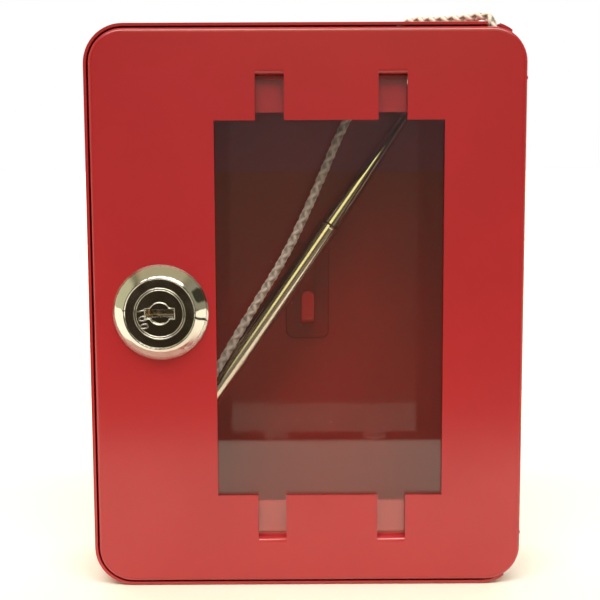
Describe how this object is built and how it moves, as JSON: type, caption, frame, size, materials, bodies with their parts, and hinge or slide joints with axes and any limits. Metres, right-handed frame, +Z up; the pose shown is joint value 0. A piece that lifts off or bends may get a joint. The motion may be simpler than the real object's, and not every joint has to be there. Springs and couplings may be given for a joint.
{
  "type": "break glass key box",
  "caption": "Shallow sheet steel wall box with a hinged glazed door, cam lock, key hook, and a corded glass hammer inside.",
  "frame": {"origin": "middle of the wall face, which is also the middle of the four wall holes", "axes": "+X to the right seen from the front, +Y into the wall, +Z up; the door faces -Y"},
  "size_m": [0.115, 0.0426, 0.1531],
  "materials": {
    "red_paint": "gloss",
    "glass": "polished",
    "chrome": "polished",
    "zinc_steel": "satin",
    "brass": "satin",
    "cord": "braided"
  },
  "bodies": {
    "case": {"case_walls": "red_paint", "back_panel": "red_paint", "key_hook": "red_paint", "upper_hinge_lug": "red_paint", "lower_hinge_lug": "red_paint", "upper_hinge_pin": "zinc_steel", "lower_hinge_pin": "zinc_steel", "cam_strike": "red_paint", "hammer_handle": "chrome", "hammer_shank": "chrome", "hammer_head": "chrome", "cord_hitch": "cord", "hammer_cord": "cord", "stopper_knot": "cord"},
    "door": {"door_panel": "red_paint", "glass_pane": "glass", "lock_housing": "chrome", "lock_washer": "zinc_steel", "lock_nut": "zinc_steel"},
    "lock_core": {"lock_plug": "chrome", "wafer_tumblers": "brass", "wafer_springs": "zinc_steel", "lock_cam": "zinc_steel", "cam_washer": "zinc_steel", "cam_screw": "zinc_steel"}
  },
  "joints": [
    {"name": "door_hinge", "type": "hinge", "parent": "case", "child": "door", "pos_m": [0.053, -0.0345, 0], "axis": [0, 0, 1], "range_deg": [0, 130]},
    {"name": "lock_turn", "type": "hinge", "parent": "door", "child": "lock_core", "pos_m": [-0.0384, -0.039, 0], "axis": [0, -1, 0], "range_deg": [0, 90]}
  ]
}
